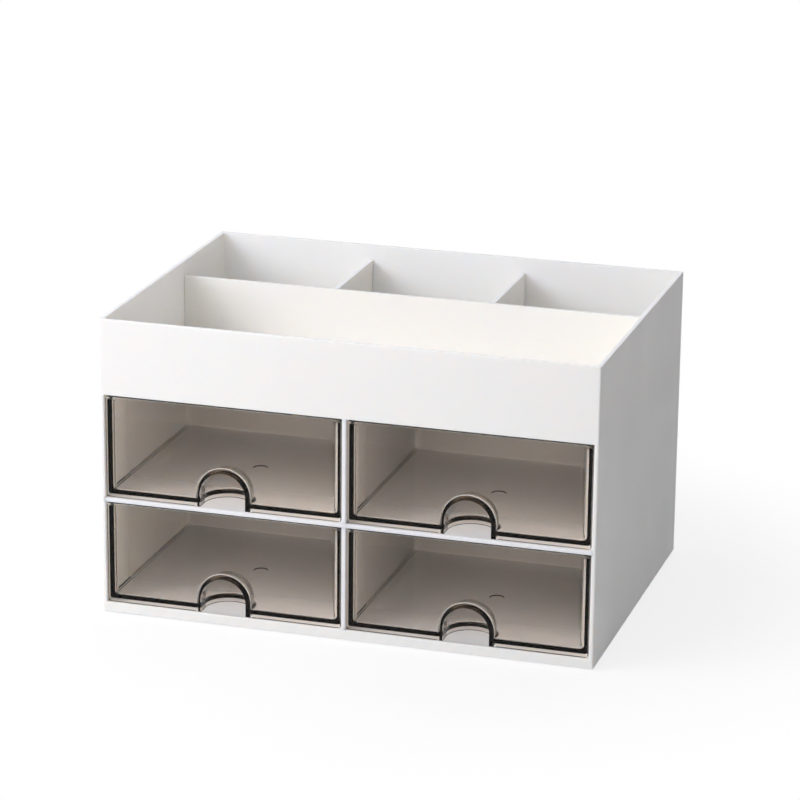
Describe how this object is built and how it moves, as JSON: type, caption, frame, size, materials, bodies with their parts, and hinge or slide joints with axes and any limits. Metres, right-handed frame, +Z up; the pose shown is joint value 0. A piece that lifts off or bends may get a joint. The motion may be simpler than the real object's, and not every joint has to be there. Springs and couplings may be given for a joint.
{
  "type": "desktop drawer organizer",
  "caption": "Free-standing desktop organizer: a white case with an open front tray and deep rear wells on top, over smoky see-through pull-out drawers with arched finger pulls.",
  "frame": {"origin": "middle of the footprint, on the surface the case stands on", "axes": "+X along the width to the right, +Y along the depth to the back, +Z up; the drawers open towards -Y"},
  "size_m": [0.26, 0.184, 0.1574],
  "materials": {
    "white_plastic": "satin moulded white, fine-grained",
    "smoky_plastic": "polished, see-through, warm grey",
    "pad_rubber": "soft grey, matt"
  },
  "bodies": {
    "case": {"outer_shell": "white_plastic", "base_plate": "white_plastic", "drawer_shelf": "white_plastic", "centre_upright": "white_plastic", "mid_wall": "white_plastic", "tray_floor": "white_plastic", "well_divider_left": "white_plastic", "well_divider_right": "white_plastic", "foot_front_left": "pad_rubber", "foot_front_right": "pad_rubber", "foot_rear_left": "pad_rubber", "foot_rear_right": "pad_rubber"},
    "upper_left_drawer": {"drawer_upper_left": "smoky_plastic"},
    "upper_right_drawer": {"drawer_upper_right": "smoky_plastic"},
    "lower_left_drawer": {"drawer_lower_left": "smoky_plastic"},
    "lower_right_drawer": {"drawer_lower_right": "smoky_plastic"}
  },
  "joints": [
    {"name": "upper_left_slide", "type": "slide", "parent": "case", "child": "upper_left_drawer", "axis": [0, -1, 0], "range_m": [0, 0.1]},
    {"name": "upper_right_slide", "type": "slide", "parent": "case", "child": "upper_right_drawer", "axis": [0, -1, 0], "range_m": [0, 0.1]},
    {"name": "lower_left_slide", "type": "slide", "parent": "case", "child": "lower_left_drawer", "axis": [0, -1, 0], "range_m": [0, 0.1]},
    {"name": "lower_right_slide", "type": "slide", "parent": "case", "child": "lower_right_drawer", "axis": [0, -1, 0], "range_m": [0, 0.1]}
  ]
}
